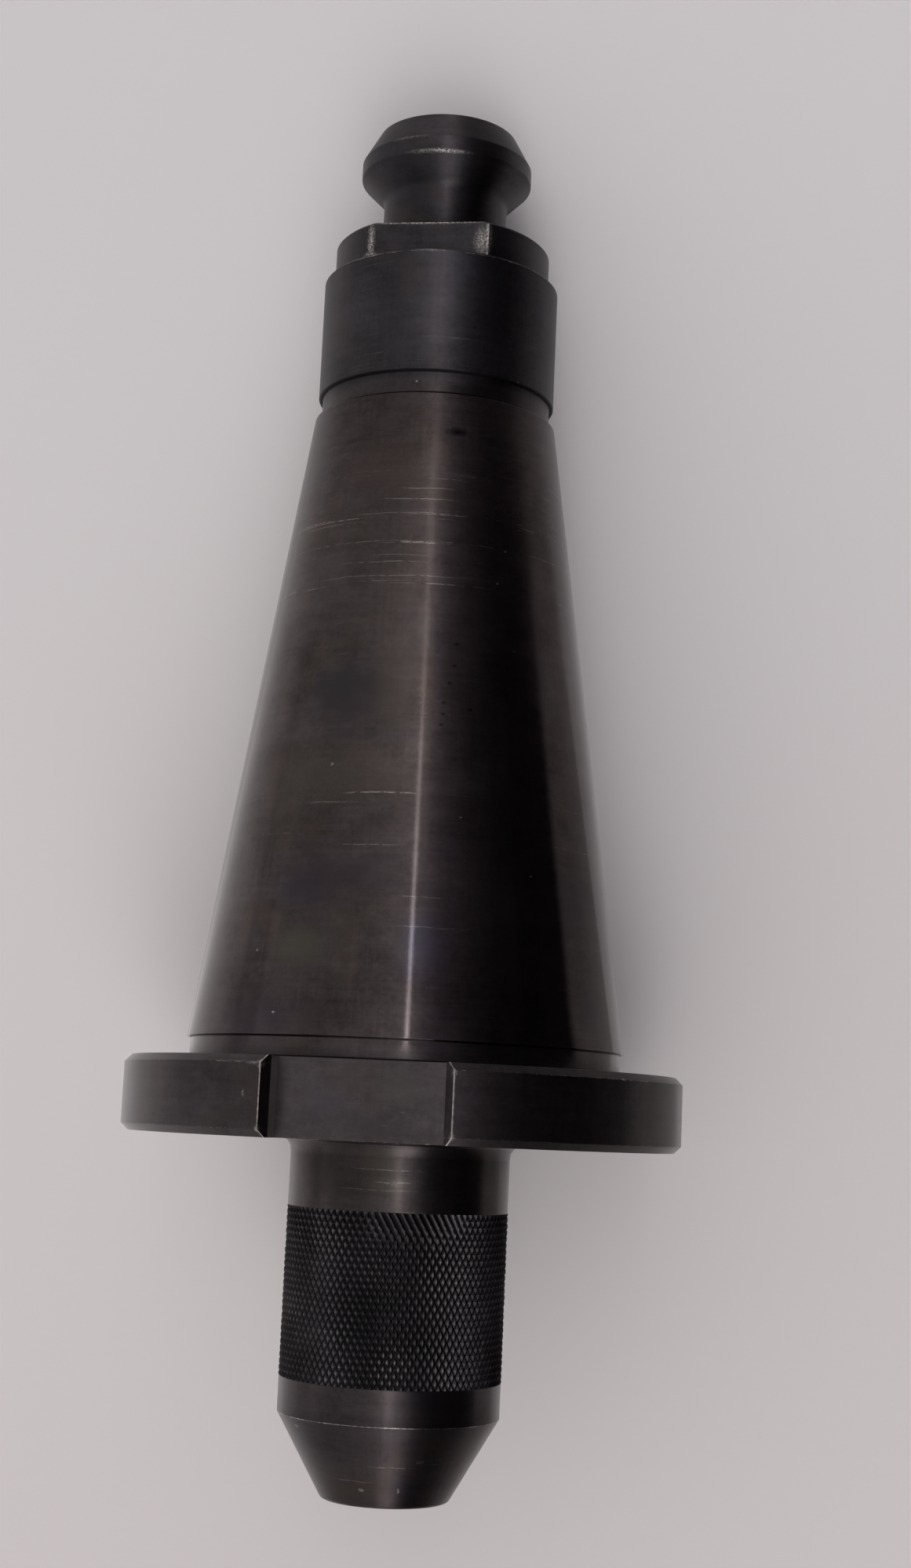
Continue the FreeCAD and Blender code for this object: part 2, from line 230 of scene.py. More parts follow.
def slot_point(kind, share, radius):
    """A point of the flange's slotted outline, in its first quarter, for a rim of that radius."""
    mouth = SLOT_HALF + SLOT_CHAMFER
    top = math.sqrt(FLANGE_RADIUS ** 2 - mouth ** 2)
    foot = top - SLOT_CHAMFER
    if math.hypot(SLOT_HALF, foot) >= radius:
        corner = (SLOT_HALF, math.sqrt(radius ** 2 - SLOT_HALF ** 2))
        foot = corner[1]
    else:
        offset = foot - SLOT_HALF
        across = (-offset + math.sqrt(2 * radius ** 2 - offset ** 2)) / 2
        corner = (across, across + offset)
    if kind == "floor":
        return (SLOT_HALF * share, SLOT_FLOOR)
    if kind == "wall":
        return (SLOT_HALF, SLOT_FLOOR + (foot - SLOT_FLOOR) * share)
    if kind == "bevel":
        return (SLOT_HALF + (corner[0] - SLOT_HALF) * share, foot + (corner[1] - foot) * share)
    start = math.atan2(corner[0], corner[1])
    turn = start + (math.pi / 2 - start) * share ** 1.15
    return (radius * math.sin(turn), radius * math.cos(turn))


def holder_point(ring, column):
    """Where a ring meets a column: on a circle, or on the slotted outline past the slot floor."""
    kind, share, side, upper, turn = column
    in_flange = FLANGE_FRONT - 1e-6 <= ring.place <= FLANGE_REAR + 1e-6
    if in_flange and ring.radius > SLOT_FLOOR:
        across, up = slot_point(kind, share, ring.radius)
        return (across * side, up * upper)
    return (ring.radius * math.sin(turn), ring.radius * math.cos(turn))


def slot_wear(ring, column):
    """Rubbed metal along the outer edges of the slot's mouth, beside the rings' own."""
    kind, share = column[:2]
    in_flange = FLANGE_FRONT - 1e-6 <= ring.place <= FLANGE_REAR + 1e-6
    if not (in_flange and ring.radius > SLOT_FLOOR):
        return ring.wear
    if kind == "floor":
        return 0.5 if ring.place < FLANGE_FRONT + 0.05 else 0.0
    if kind == "wall":
        return 0.0
    at_mouth = kind == "rim" and share <= MOUTH_SHARES[-1]
    return 1.0 if at_mouth else ring.wear


def new_object(name, mesh, body):
    """A shown piece that rides on a CAD body."""
    piece = bpy.data.objects.new(name, mesh)
    bpy.context.scene.collection.objects.link(piece)
    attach(piece, body)
    return piece


def ring_mesh(name, rings, columns, point_of, wear_of):
    """A closed mesh of rings by columns in the lying frame, with its own coordinates kept on it."""
    vertices, local, wear, grime, rows = [], [], [], [], []
    for ring in rings:
        row = []
        single = ring.radius < 1e-6
        for column in columns[:1] if single else columns:
            across, up = (0.0, 0.0) if single else point_of(ring, column)
            row.append(len(vertices))
            local.append((across, ring.place, up))
            vertices.append(LYING @ (Vector(local[-1]) * MM))
            wear.append(wear_of(ring, column))
            grime.append(ring.grime)
        rows.append(row)
    faces = []
    count = len(columns)
    for low, high in zip(rows, rows[1:]):
        for index in range(count):
            after = (index + 1) % count
            if len(low) == 1:
                faces.append((low[0], high[index], high[after]))
            elif len(high) == 1:
                faces.append((low[after], low[index], high[0]))
            else:
                faces.append((low[after], low[index], high[index], high[after]))
    mesh = bpy.data.meshes.new(name)
    mesh.from_pydata(vertices, [], faces)
    layers = (("local", "FLOAT_VECTOR", "vector", local), ("wear", "FLOAT", "value", wear),
              ("grime", "FLOAT", "value", grime))
    for layer_name, kind, key, values in layers:
        layer = mesh.attributes.new(layer_name, kind, "POINT")
        for item, value in zip(layer.data, values):
            setattr(item, key, value)
    merged = bmesh.new()
    merged.from_mesh(mesh)
    bmesh.ops.remove_doubles(merged, verts=merged.verts, dist=SAME_POINT)
    merged.to_mesh(mesh)
    merged.free()
    mesh.shade_smooth()
    mesh.set_sharp_from_angle(angle=SHARP_ANGLE)
    return mesh


def holder_rings():
    """The holder's outline from the bottom of the cutter bore, out over the nose, to the stud hole."""
    edge = EDGE_ROUND
    corners = [
        (0, BORE_END + BORE_RADIUS / DRILL_SLOPE, 0, 0),
        (BORE_RADIUS, BORE_END, 0.3, 0),
        (BORE_RADIUS, NOSE_FACE + BORE_CHAMFER, edge, 0.5),
        (BORE_RADIUS + BORE_CHAMFER, NOSE_FACE, edge, 0.7),
        (NOSE_RADIUS, NOSE_FACE, 0.9, 0.3),
        (NECK_RADIUS, CONE_START, 0.08, 0.75),
        (NECK_RADIUS, KNURL_FRONT, edge, 0.15),
        (KNURL_SEAT, KNURL_FRONT, 0, 0),
        (KNURL_SEAT, KNURL_REAR, 0, 0),
        (NECK_RADIUS, KNURL_REAR, edge, 0.15),
        (NECK_RADIUS, FLANGE_FRONT, NECK_FILLET, 0),
        (SLOT_FLOOR - 0.1, FLANGE_FRONT, 0, 0),
        (SLOT_CORNER + 0.1, FLANGE_FRONT, 0, 0),
        (FLANGE_RADIUS - FLANGE_CHAMFER, FLANGE_FRONT, edge, 0.3),
        (FLANGE_RADIUS, FLANGE_FRONT + FLANGE_CHAMFER, edge, 0.4),
        (FLANGE_RADIUS, FLANGE_REAR - FLANGE_CHAMFER, edge, 0.45),
        (FLANGE_RADIUS - FLANGE_CHAMFER, FLANGE_REAR, edge, 0.3),
        (SLOT_CORNER + 0.1, FLANGE_REAR, 0, 0),
        (SLOT_FLOOR - 0.1, FLANGE_REAR, 0, 0),
        (UNDERCUT_RADIUS, FLANGE_REAR, 0.25, 0),
        (UNDERCUT_RADIUS, 0, 0.2, 0),
        (GAUGE_RADIUS, 0, 0.05, 0.3),
        (SMALL_END_RADIUS, TAPER_LENGTH, edge, 0.3),
        (RELIEF_RADIUS, TAPER_LENGTH, 0.5, 0),
        (RELIEF_RADIUS, PILOT_START, 0.5, 0),
        (PILOT_RADIUS, PILOT_START, edge, 0.26),
        (PILOT_RADIUS, SHANK_END - END_CHAMFER, edge, 0.55),
        (PILOT_RADIUS - END_CHAMFER, SHANK_END, edge, 0.4),
        (STUD_RADIUS, SHANK_END, 0, 0),
        (STUD_RADIUS, SHANK_END - STUD_HOLE, 0, 0),
        (0, SHANK_END - STUD_HOLE - STUD_RADIUS / DRILL_SLOPE, 0, 0),
    ]
    return subdivided(rounded_profile(corners), HOLDER_GAP)


def knob_point(ring, column):
    """A ring of the knob, cut off by the two wrench flats on its collar."""
    across, up = ring.radius * math.sin(column), ring.radius * math.cos(column)
    on_collar = SHANK_END - 1e-6 <= ring.place <= COLLAR_TOP + 1e-6
    if on_collar and abs(up) > WRENCH_HALF:
        up = math.copysign(WRENCH_HALF, up)
    return (across, up)


def knob_wear(ring, column):
    """Rubbed metal along the ends of the wrench flats, beside the worn rings."""
    on_collar = SHANK_END - 1e-6 <= ring.place <= COLLAR_TOP + 1e-6
    corner = math.acos(WRENCH_HALF / COLLAR_RADIUS)
    gap = min(abs(math.remainder(column - side * corner, math.pi)) for side in (-1, 1))
    if on_collar and ring.radius > WRENCH_HALF and gap < math.radians(1.5):
        return 0.5
    return ring.wear


def knob_columns():
    """Turns of the knob's columns, with two of them on each corner of the flats."""
    corner = math.acos(WRENCH_HALF / COLLAR_RADIUS)
    turns = [2 * math.pi * index / KNOB_COLUMNS for index in range(KNOB_COLUMNS)]
    for centre in (0, math.pi):
        for side in (-1, 1):
            exact = (centre + side * corner) % (2 * math.pi)
            nearest = min(range(KNOB_COLUMNS), key=lambda index: abs(turns[index] - exact))
            turns[nearest] = exact
    return turns


def knob_rings():
    """The knob's outline from the end of its stud to the middle of its top."""
    edge = EDGE_ROUND
    corners = [
        (0, SHANK_END - STUD_LENGTH, 0, 0),
        (STUD_RADIUS - STUD_CHAMFER, SHANK_END - STUD_LENGTH, 0.2, 0),
        (STUD_RADIUS, SHANK_END - STUD_LENGTH + STUD_CHAMFER, 0.2, 0),
        (STUD_RADIUS, SHANK_END, 0, 0),
        (COLLAR_RADIUS, SHANK_END, 0.1, 0.1),
        (COLLAR_RADIUS, COLLAR_TOP - END_CHAMFER, edge, 0.35),
        (COLLAR_RADIUS - END_CHAMFER, COLLAR_TOP, edge, 0.6),
        (GRIP_RADIUS, COLLAR_TOP, GRIP_FILLET, 0),
        (GRIP_RADIUS, HEAD_UNDERSIDE, GRIP_FILLET, 0),
        (HEAD_RADIUS, BAND_START, 0.5, 0.32),
        (HEAD_RADIUS, BAND_END, 0.35, 0.22),
        (KNOB_TOP_RADIUS, KNOB_TOP, 0.5, 0.2),
        (0, KNOB_TOP, 0, 0),
    ]
    return subdivided(rounded_profile(corners), KNOB_GAP)


# The knurl's count of points round and along, the mesh in one of them, and where their tips are cut off
KNURL_TEETH = round(2 * math.pi * KNURL_CREST / KNURL_PITCH)
KNURL_ROWS = round((KNURL_REAR - KNURL_FRONT) / (KNURL_PITCH / 2 / math.tan(KNURL_ANGLE)))
TOOTH_COLUMNS = 8
ROW_STEPS = 4
POINT_FLAT = 0.78

# The first rows on one side carry a single family of grooves: rows, middle turn and spread in degrees
RUN_IN_ROWS = 6.5
RUN_IN_TURN = 22
RUN_IN_SPREAD = 34

# How much the height of one point differs from the next, as a share of the depth
POINT_SPREAD = 0.16


def ridge(phase):
    """A sharp-bottomed groove across one period: 0 in the valley and 1 on the ridge."""
    part = phase % 1.0
    return 2 * min(part, 1 - part)


def smooth_step(value, low, high):
    """0 at low, 1 at high and smooth between."""
    share = min(1.0, max(0.0, (value - low) / (high - low)))
    return share * share * (3 - 2 * share)


def knurl_height(tooth, row):
    """Height of the knurl from valley to crest, where two families of grooves cross."""
    one = ridge(tooth + row / 2 + 0.5)
    other = ridge(tooth - row / 2 + 0.5)
    turn = math.degrees(math.remainder(tooth / KNURL_TEETH * 2 * math.pi, 2 * math.pi))
    run_in = smooth_step(row, KNURL_ROWS - RUN_IN_ROWS, KNURL_ROWS - 1)
    run_in *= smooth_step(abs(turn - RUN_IN_TURN), RUN_IN_SPREAD, RUN_IN_SPREAD - 16)
    across, up = math.floor(tooth + row / 2 + 0.5), math.floor(tooth - row / 2 + 0.5)
    worn = math.sin(across * 12.9898 + up * 78.233) * 43758.5453 % 1.0
    return min(one, max(other, run_in * POINT_FLAT), POINT_FLAT) * (1 - POINT_SPREAD * worn)


def knurl_mesh():
    """The knurled band as a closed ring, with a height on each vertex for its finish."""
    column_count = KNURL_TEETH * TOOTH_COLUMNS
    columns = [2 * math.pi * index / column_count for index in range(column_count)]
    step_count = KNURL_ROWS * ROW_STEPS
    heights = {}
    inner = KNURL_SEAT - 0.3
    rings = [Ring(inner, KNURL_FRONT)]
    rings += [Ring(KNURL_CREST, KNURL_FRONT + (KNURL_REAR - KNURL_FRONT) * step / step_count)
              for step in range(step_count + 1)]
    rings += [Ring(inner, KNURL_REAR)]

    def height_at(ring, column):
        if ring.radius < KNURL_SEAT:
            return 0.0
        key = (ring.place, column)
        if key not in heights:
            row = (ring.place - KNURL_FRONT) / (KNURL_REAR - KNURL_FRONT) * KNURL_ROWS
            heights[key] = knurl_height(column / (2 * math.pi) * KNURL_TEETH, row)
        return heights[key]

    def point(ring, column):
        radius = ring.radius
        if radius > KNURL_SEAT:
            radius = KNURL_CREST - KNURL_DEPTH * (1 - height_at(ring, column))
        return (radius * math.sin(column), radius * math.cos(column))

    return ring_mesh("knurl_band", rings + rings[:1], columns, point, height_at)


def cut_screw_hole(piece, cutter):
    """The radial hole for the clamp screw, cut for good into the piece's mesh."""
    modifier = piece.modifiers.new("screw_hole", "BOOLEAN")
    modifier.object = cutter
    modifier.operation = "DIFFERENCE"
    modifier.solver = "EXACT"
    bpy.context.view_layer.update()
    evaluated = piece.evaluated_get(bpy.context.evaluated_depsgraph_get())
    cut = bpy.data.meshes.new_from_object(evaluated)
    piece.modifiers.clear()
    piece.data = cut


def screw_hole_cutter():
    """A plain cylinder from the middle of the bore out through the lower side of the knurled band."""
    mesh = bpy.data.meshes.new("hole_cutter")
    shape = bmesh.new()
    bmesh.ops.create_cone(shape, cap_ends=True, segments=96, radius1=SCREW_HOLE_RADIUS * MM,
                          radius2=SCREW_HOLE_RADIUS * MM, depth=KNURL_CREST * 2 * MM)
    shape.to_mesh(mesh)
    shape.free()
    cutter = bpy.data.objects.new("hole_cutter", mesh)
    bpy.context.scene.collection.objects.link(cutter)
    cutter.matrix_world = LYING @ Matrix.Translation(Vector((0, SCREW_PLACE, -KNURL_CREST)) * MM)
    cutter.hide_render = True
    return cutter


BUMP_DISTANCE = 0.0001


class Nodes:
    """Short ways to add and join the nodes of one material or world."""

    def __init__(self, material):
        self.tree = material.node_tree
        self.links = self.tree.links

    def add(self, kind, inputs=None, **settings):
        node = self.tree.nodes.new(kind)
        for key, value in settings.items():
            setattr(node, key, value)
        for key, value in (inputs or {}).items():
            if isinstance(value, bpy.types.NodeSocket):
                self.links.new(value, node.inputs[key])
            else:
                node.inputs[key].default_value = value
        return node

    def attribute(self, name):
        return self.add("ShaderNodeAttribute", attribute_name=name)

    def math(self, operation, first, second=0.0, third=0.0, clamp=False):
        return self.add("ShaderNodeMath", {0: first, 1: second, 2: third}, operation=operation,
                        use_clamp=clamp).outputs[0]

    def times(self, first, second):
        return self.math("MULTIPLY", first, second)

    def plus(self, first, second):
        return self.math("ADD", first, second)

    def minus(self, first, second):
        return self.math("SUBTRACT", first, second)

    def highest(self, first, second):
        return self.math("MAXIMUM", first, second)

    def vector_math(self, operation, first, second):
        return self.add("ShaderNodeVectorMath", {0: first, 1: second}, operation=operation).outputs[0]

    def scaled(self, vector, factor):
        return self.add("ShaderNodeVectorMath", {0: vector, "Scale": factor}, operation="SCALE").outputs[0]

    def parts(self, vector):
        return self.add("ShaderNodeSeparateXYZ", {0: vector}).outputs

    def noise(self, vector, scale, detail=3.0, roughness=0.55):
        return self.add("ShaderNodeTexNoise", {"Vector": vector, "Scale": scale, "Detail": detail,
                                               "Roughness": roughness}).outputs["Fac"]

    def between(self, value, low, high):
        """0 below low, 1 above high and smooth between."""
        return self.add("ShaderNodeMapRange", {"Value": value, "From Min": low, "From Max": high},
                        interpolation_type="SMOOTHSTEP").outputs["Result"]

    def stretched(self, vector, x, y, z):
        return self.vector_math("MULTIPLY", vector, (x, y, z))

    def mix_color(self, share, first, second):
        return self.add("ShaderNodeMix", {0: share, 6: first, 7: second}, data_type="RGBA").outputs[2]

    def mix(self, share, first, second):
        return self.add("ShaderNodeMix", {0: share, 2: first, 3: second}).outputs[0]

    def combine(self, x, y, z):
        return self.add("ShaderNodeCombineXYZ", {0: x, 1: y, 2: z}).outputs[0]

    def ramp(self, share, stops):
        """A colour ramp from (position, colour) stops."""
        node = self.add("ShaderNodeValToRGB", {"Fac": share})
        elements = node.color_ramp.elements
        while len(elements) < len(stops):
            elements.new(1.0)
        for element, (position, color) in zip(elements, stops):
            element.position = position
            element.color = (*color, 1)
        return node.outputs["Color"]

    def bump(self, strength, height):
        return self.add("ShaderNodeBump", {"Strength": strength, "Distance": BUMP_DISTANCE,
                                           "Height": height}).outputs[0]

    def spot(self, local, centre, spread_out, ragged):
        """1 at the centre, 0 past its spread each way, with a ragged rim."""
        shares = self.vector_math("DIVIDE", self.vector_math("SUBTRACT", local, centre), spread_out)
        distance = self.add("ShaderNodeVectorMath", {0: shares}, operation="LENGTH").outputs["Value"]
        return self.between(self.plus(distance, self.times(ragged, 0.9)), 1.5, 0.6)

    def round_direction(self, local):
        """The direction round the axis at each point, as the piece lies."""
        parts = self.parts(local)
        right, up = LYING.to_3x3().col[0], LYING.to_3x3().col[2]
        return self.vector_math("SUBTRACT", self.scaled(right, parts["Z"]), self.scaled(up, parts["X"]))

    def turned_coordinates(self, local):
        """(turn about the axis, place along it, radius) from a piece's own coordinates."""
        parts = self.parts(local)
        turn = self.math("ARCTAN2", parts["X"], parts["Z"])
        squares = self.plus(self.times(parts["X"], parts["X"]), self.times(parts["Z"], parts["Z"]))
        return turn, parts["Y"], self.math("SQRT", squares)


def surface_point(turn, place, radius):
    """Where (turn in degrees, place, radius) lies in a piece's own coordinates."""
    angle = math.radians(turn)
    return (radius * math.sin(angle), place, radius * math.cos(angle))


def on_taper(turn, place):
    """A point of the taper by its turn and place."""
    return surface_point(turn, place, GAUGE_RADIUS - place * TAPER_SLOPE)


def new_material(name):
    """A material with its helper and its shader."""
    material = bpy.data.materials.new(name)
    material.use_nodes = True
    return material, Nodes(material), material.node_tree.nodes["Principled BSDF"]


def new_steel(name):
    """A metal material with its helper and its shader."""
    material, nodes, shader = new_material(name)
    shader.inputs["Metallic"].default_value = 1.0
    return material, nodes, shader


def faded_matt(name, axis, fade, near_color, far_color):
    """A matt material of one colour that fades into another along an axis, from place to place in metres."""
    material, nodes, shader = new_material(name)
    place = nodes.parts(nodes.add("ShaderNodeTexCoord").outputs["Object"])[axis]
    color = nodes.mix_color(nodes.between(place, *fade), near_color, far_color)
    nodes.links.new(color, shader.inputs["Base Color"])
    shader.inputs["Roughness"].default_value = 1.0
    shader.inputs["Specular IOR Level"].default_value = 0.0
    return material


# The oxide from the nose to the knob: (place, reflectance in red, green and blue, roughness)
HOLDER_ZONES = (
    (NOSE_FACE, (0.040, 0.032, 0.033), 0.36),
    (CONE_START, (0.041, 0.034, 0.036), 0.34),
    (KNURL_FRONT, (0.052, 0.044, 0.046), 0.34),
    (KNURL_REAR, (0.056, 0.048, 0.048), 0.32),
    (FLANGE_FRONT, (0.062, 0.053, 0.052), 0.34),
    (FLANGE_FRONT + 0.4, (0.059, 0.051, 0.053), 0.40),
    (FLANGE_REAR, (0.059, 0.051, 0.053), 0.40),
    (0.0, (0.057, 0.047, 0.048), 0.11),
    (TAPER_LENGTH * 0.28, (0.058, 0.048, 0.048), 0.12),
    (TAPER_LENGTH * 0.42, (0.061, 0.050, 0.049), 0.13),
    (TAPER_LENGTH * 0.72, (0.061, 0.050, 0.049), 0.22),
    (TAPER_LENGTH, (0.057, 0.046, 0.046), 0.36),
    (PILOT_START, (0.050, 0.046, 0.051), 0.52),
    (SHANK_END, (0.050, 0.046, 0.052), 0.52),
)
KNOB_ZONES = ((SHANK_END, (0.047, 0.043, 0.048), 0.48), (KNOB_TOP, (0.050, 0.045, 0.050), 0.42))

BROWN, PURPLE = (0.076, 0.064, 0.055), (0.043, 0.035, 0.043)

# Patches where the oxide has another tint: (point, spread in mm each way, colour, share)
HOLDER_PATCHES = (
    (on_taper(-20.5, 13.4), (6.0, 4.6, 6.0), (0.077, 0.074, 0.058), 0.75),
    (on_taper(-24.0, 21.5), (5.5, 3.6, 5.0), (0.040, 0.040, 0.050), 0.60),
    (on_taper(-16.0, 53.0), (9.5, 8.0, 8.0), (0.043, 0.037, 0.042), 0.80),
    (on_taper(-18.5, 54.5), (6.0, 5.0, 6.0), (0.040, 0.039, 0.042), 0.50),
    (on_taper(-22.0, 57.5), (3.0, 2.2, 3.0), (0.070, 0.066, 0.060), 0.40),
    (on_taper(0.0, 55.0), (4.5, 12.0, 4.0), BROWN, 0.45),
    (on_taper(-14.0, 24.0), (15.0, 6.5, 9.0), PURPLE, 0.60),
    (on_taper(-16.0, 40.0), (14.0, 6.0, 9.0), BROWN, 0.30),
    (on_taper(-14.0, 90.0), (9.0, 6.0, 7.0), (0.076, 0.056, 0.052), 0.45),
    # This light bluish patch beside the highlight line is a painted highlight
    (on_taper(12.0, 14.0), (5.5, 7.0, 5.0), (0.064, 0.062, 0.084), 0.55),
    (on_taper(-36.0, 38.0), (8.0, 10.0, 8.0), BROWN, 0.30),
    (on_taper(-32.0, 2.5), (16.0, 5.0, 9.0), (0.046, 0.034, 0.045), 0.60),
    (on_taper(150.0, 30.0), (14.0, 9.0, 14.0), BROWN, 0.40),
    (on_taper(-120.0, 62.0), (12.0, 9.0, 12.0), PURPLE, 0.55),
    (on_taper(95.0, 74.0), (8.0, 10.0, 8.0), BROWN, 0.40),
    (on_taper(60.0, 22.0), (12.0, 9.0, 12.0), PURPLE, 0.45),
    ((-5.5, FLANGE_REAR - 6.0, SLOT_FLOOR), (5.5, 4.0, 2.0), (0.066, 0.058, 0.068), 0.55),
    ((5.0, FLANGE_REAR - 4.0, SLOT_FLOOR), (5.0, 3.0, 2.0), (0.074, 0.068, 0.064), 0.45),
    ((2.0, FLANGE_REAR - 9.5, SLOT_FLOOR), (7.0, 2.5, 2.0), (0.050, 0.044, 0.048), 0.50),
    (surface_point(-4.0, -18.0, NECK_RADIUS), (7.0, 2.2, 6.0), (0.080, 0.068, 0.056), 0.50),
    (surface_point(4.0, -21.3, NECK_RADIUS), (5.0, 2.0, 5.0), (0.086, 0.076, 0.064), 0.50),
    (surface_point(-34.0, -20.0, NECK_RADIUS), (7.0, 6.0, 7.0), (0.044, 0.037, 0.038), 0.60),
    (surface_point(-20.0, NOSE_FACE + 3.0, 11.5), (8.0, 3.0, 6.0), (0.052, 0.040, 0.036), 0.60),
)

# Single turned scratches: (place, middle turn and half span in degrees, half width in mm, strength)
HOLDER_LINES = (
    (36.8, -2.0, 13.0, 0.12, 0.62), (35.3, -17.0, 9.0, 0.09, 0.34), (28.8, -4.0, 11.0, 0.08, 0.30),
    (71.6, -3.0, 40.0, 0.08, 0.30), (73.9, -8.0, 20.0, 0.08, 0.34), (75.0, -2.0, 13.0, 0.07, 0.28),
    (77.2, 4.0, 8.0, 0.12, 0.60), (86.2, 8.0, 14.0, 0.07, 0.36), (84.4, 4.0, 18.0, 0.08, 0.42),
    (82.0, 0.0, 30.0, 0.07, 0.30), (16.5, 16.0, 14.0, 0.07, 0.26), (21.0, 12.0, 10.0, 0.07, 0.24),
    (62.0, 170.0, 24.0, 0.08, 0.40), (48.0, -110.0, 20.0, 0.09, 0.40), (18.0, 100.0, 22.0, 0.09, 0.40),
    (-19.3, 4.0, 22.0, 0.08, 0.34), (-21.2, 7.0, 12.0, 0.09, 0.40), (-22.4, -2.0, 25.0, 0.07, 0.26),
    (-63.5, 12.0, 20.0, 0.07, 0.26), (-66.0, -14.0, 18.0, 0.07, 0.22), (112.0, 14.0, 16.0, 0.08, 0.20),
)

# Where rings of fine scratches run round the taper: (place, half width, strength)
SCRATCH_RINGS = (
    (89.0, 2.2, 0.7), (81.5, 1.6, 0.8), (77.2, 0.5, 1.0), (74.2, 0.5, 0.8),
    (70.5, 0.8, 0.8), (36.8, 0.4, 0.8), (30.7, 0.4, 0.6), (109.5, 8.0, 0.25),
)

# How far the turning lines stretch reflections along the axis, which is a quarter turn from the lines
TURNED_STRETCH = 0.9
QUARTER_TURN = 0.25

# Reflectance of steel rubbed bare, and the black used for soot in pits and for painted shade in concave
# corners
BARE_STEEL = (0.50, 0.47, 0.44, 1)
SOOT_AND_SHADE_BLACK = (0.008, 0.007, 0.008, 1)


class TurnedSurface:
    """What a turned piece's finish is made from: where a point lies, its wear, and noises used twice."""

    def __init__(self, nodes):
        self.local = nodes.attribute("local").outputs["Vector"]
        self.wear = nodes.attribute("wear").outputs["Fac"]
        self.grime = nodes.attribute("grime").outputs["Fac"]
        self.turn, self.place, self.radius = nodes.turned_coordinates(self.local)
        self.turned = nodes.noise(self.lines_round(nodes, 0.6, 7.0), 1.0, 3.0, 0.6)
        self.stain = nodes.noise(nodes.stretched(self.local, 1.0, 1.6, 1.0), 0.22, 5.0, 0.62)
        self.speck = nodes.noise(self.local, 2.4, 2.0, 0.5)
        self.grit = nodes.minus(nodes.noise(self.local, 1.3, 4.0, 0.75), 0.5)
        self.ragged = nodes.plus(nodes.times(nodes.noise(self.local, 1.5, 4.0, 0.75), 0.8),
                                 nodes.times(nodes.noise(self.local, 0.16, 2.0), 0.5))

    def lines_round(self, nodes, turn_scale, line_scale):
        """Noise coordinates for lines that run round the axis."""
        return nodes.combine(nodes.times(self.turn, turn_scale), nodes.times(self.place, line_scale),
                             nodes.times(self.radius, line_scale))

    def lines_along(self, nodes, line_scale, along_scale):
        """Noise coordinates for lines that run along the axis, whatever the radius."""
        parts = nodes.parts(self.local)
        right = nodes.times(nodes.math("DIVIDE", parts["X"], self.radius), line_scale)
        up = nodes.times(nodes.math("DIVIDE", parts["Z"], self.radius), line_scale)
        return nodes.combine(right, nodes.times(parts["Y"], along_scale), up)

    def by_place(self, nodes, stops):
        """A colour ramp by place along the axis, from (place, colour) stops."""
        first, last = stops[0][0], stops[-1][0]
        span = {"Value": self.place, "From Min": first, "From Max": last}
        share = nodes.add("ShaderNodeMapRange", span).outputs["Result"]
        return nodes.ramp(share, [((where - first) / (last - first), color) for where, color in stops])


def ring_scratches(nodes, surface, rings):
    """Thin lines round the piece that come and go, thickest in the given rings."""
    thin = nodes.noise(surface.lines_round(nodes, 1.1, 5.5), 1.0, 2.0, 0.5)
    strength = nodes.times(nodes.between(nodes.noise(surface.local, 0.09, 2.0), 0.52, 0.75), 0.35)
    for where, half_width, amount in rings:
        gap = nodes.math("ABSOLUTE", nodes.minus(surface.place, where))
        strength = nodes.highest(strength, nodes.times(nodes.between(gap, half_width, 0.0), amount))
    lines = nodes.between(nodes.plus(thin, nodes.times(strength, 0.12)), 0.69, 0.76)
    broken = nodes.between(nodes.noise(surface.local, 0.55, 3.0, 0.7), 0.40, 0.62)
    return nodes.times(nodes.times(lines, broken), strength)


def single_scratches(nodes, surface, lines):
    """Single scratches, each along a part of the turn, broken and not quite straight."""
    wavy = nodes.math("MULTIPLY_ADD", nodes.noise(surface.local, 0.25, 2.0), 0.5, surface.place)
    wavy = nodes.minus(wavy, 0.25)
    total = 0.0
    for where, middle, half_span, half_width, strength in lines:
        off_turn = nodes.math("ABSOLUTE", nodes.minus(surface.turn, math.radians(middle)))
        here = nodes.between(off_turn, math.radians(half_span), math.radians(half_span) * 0.4)
        off_place = nodes.math("ABSOLUTE", nodes.minus(wavy, where))
        line = nodes.times(nodes.between(off_place, half_width * 1.5, 0.0), strength * 0.6)
        total = nodes.highest(total, nodes.times(line, here))
    return nodes.times(total, nodes.between(nodes.noise(surface.local, 0.9, 3.0, 0.7), 0.36, 0.52))


